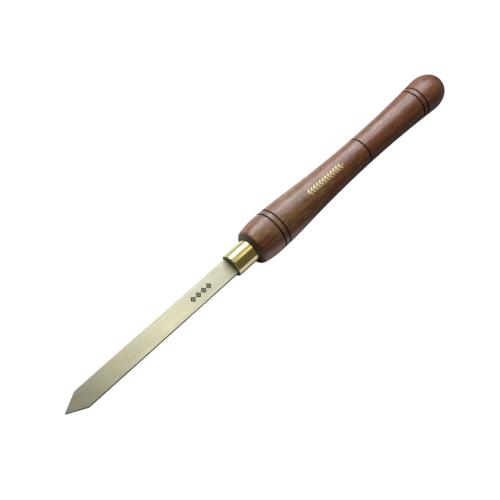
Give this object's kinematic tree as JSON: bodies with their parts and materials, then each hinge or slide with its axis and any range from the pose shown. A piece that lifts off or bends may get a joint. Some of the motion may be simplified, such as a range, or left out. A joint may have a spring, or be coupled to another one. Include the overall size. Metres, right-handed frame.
{
  "type": "woodturning parting tool",
  "caption": "Woodturner's parting tool: flat steel blade with a V point, brass ferrule and long turned hardwood handle with burnt grooves.",
  "frame": {"origin": "on the tool's axis, at the ferrule's rear end, where it seats on the handle's shoulder", "axes": "+X along the tool's axis towards the cutting edge, +Z square to the blade's wide faces, so the tool lies flat on its back along X"},
  "size_m": [0.4306, 0.0351, 0.035],
  "materials": {
    "blade_steel": "fine ground, faintly brushed along its length",
    "ferrule_brass": "polished",
    "handle_wood": "dark walnut stain under satin lacquer, burnt grooves",
    "adhesive": "cured, dark"
  },
  "bodies": {
    "root": {"blade": "blade_steel", "ferrule": "ferrule_brass", "handle": "handle_wood", "tang_adhesive": "adhesive"}
  },
  "joints": []
}
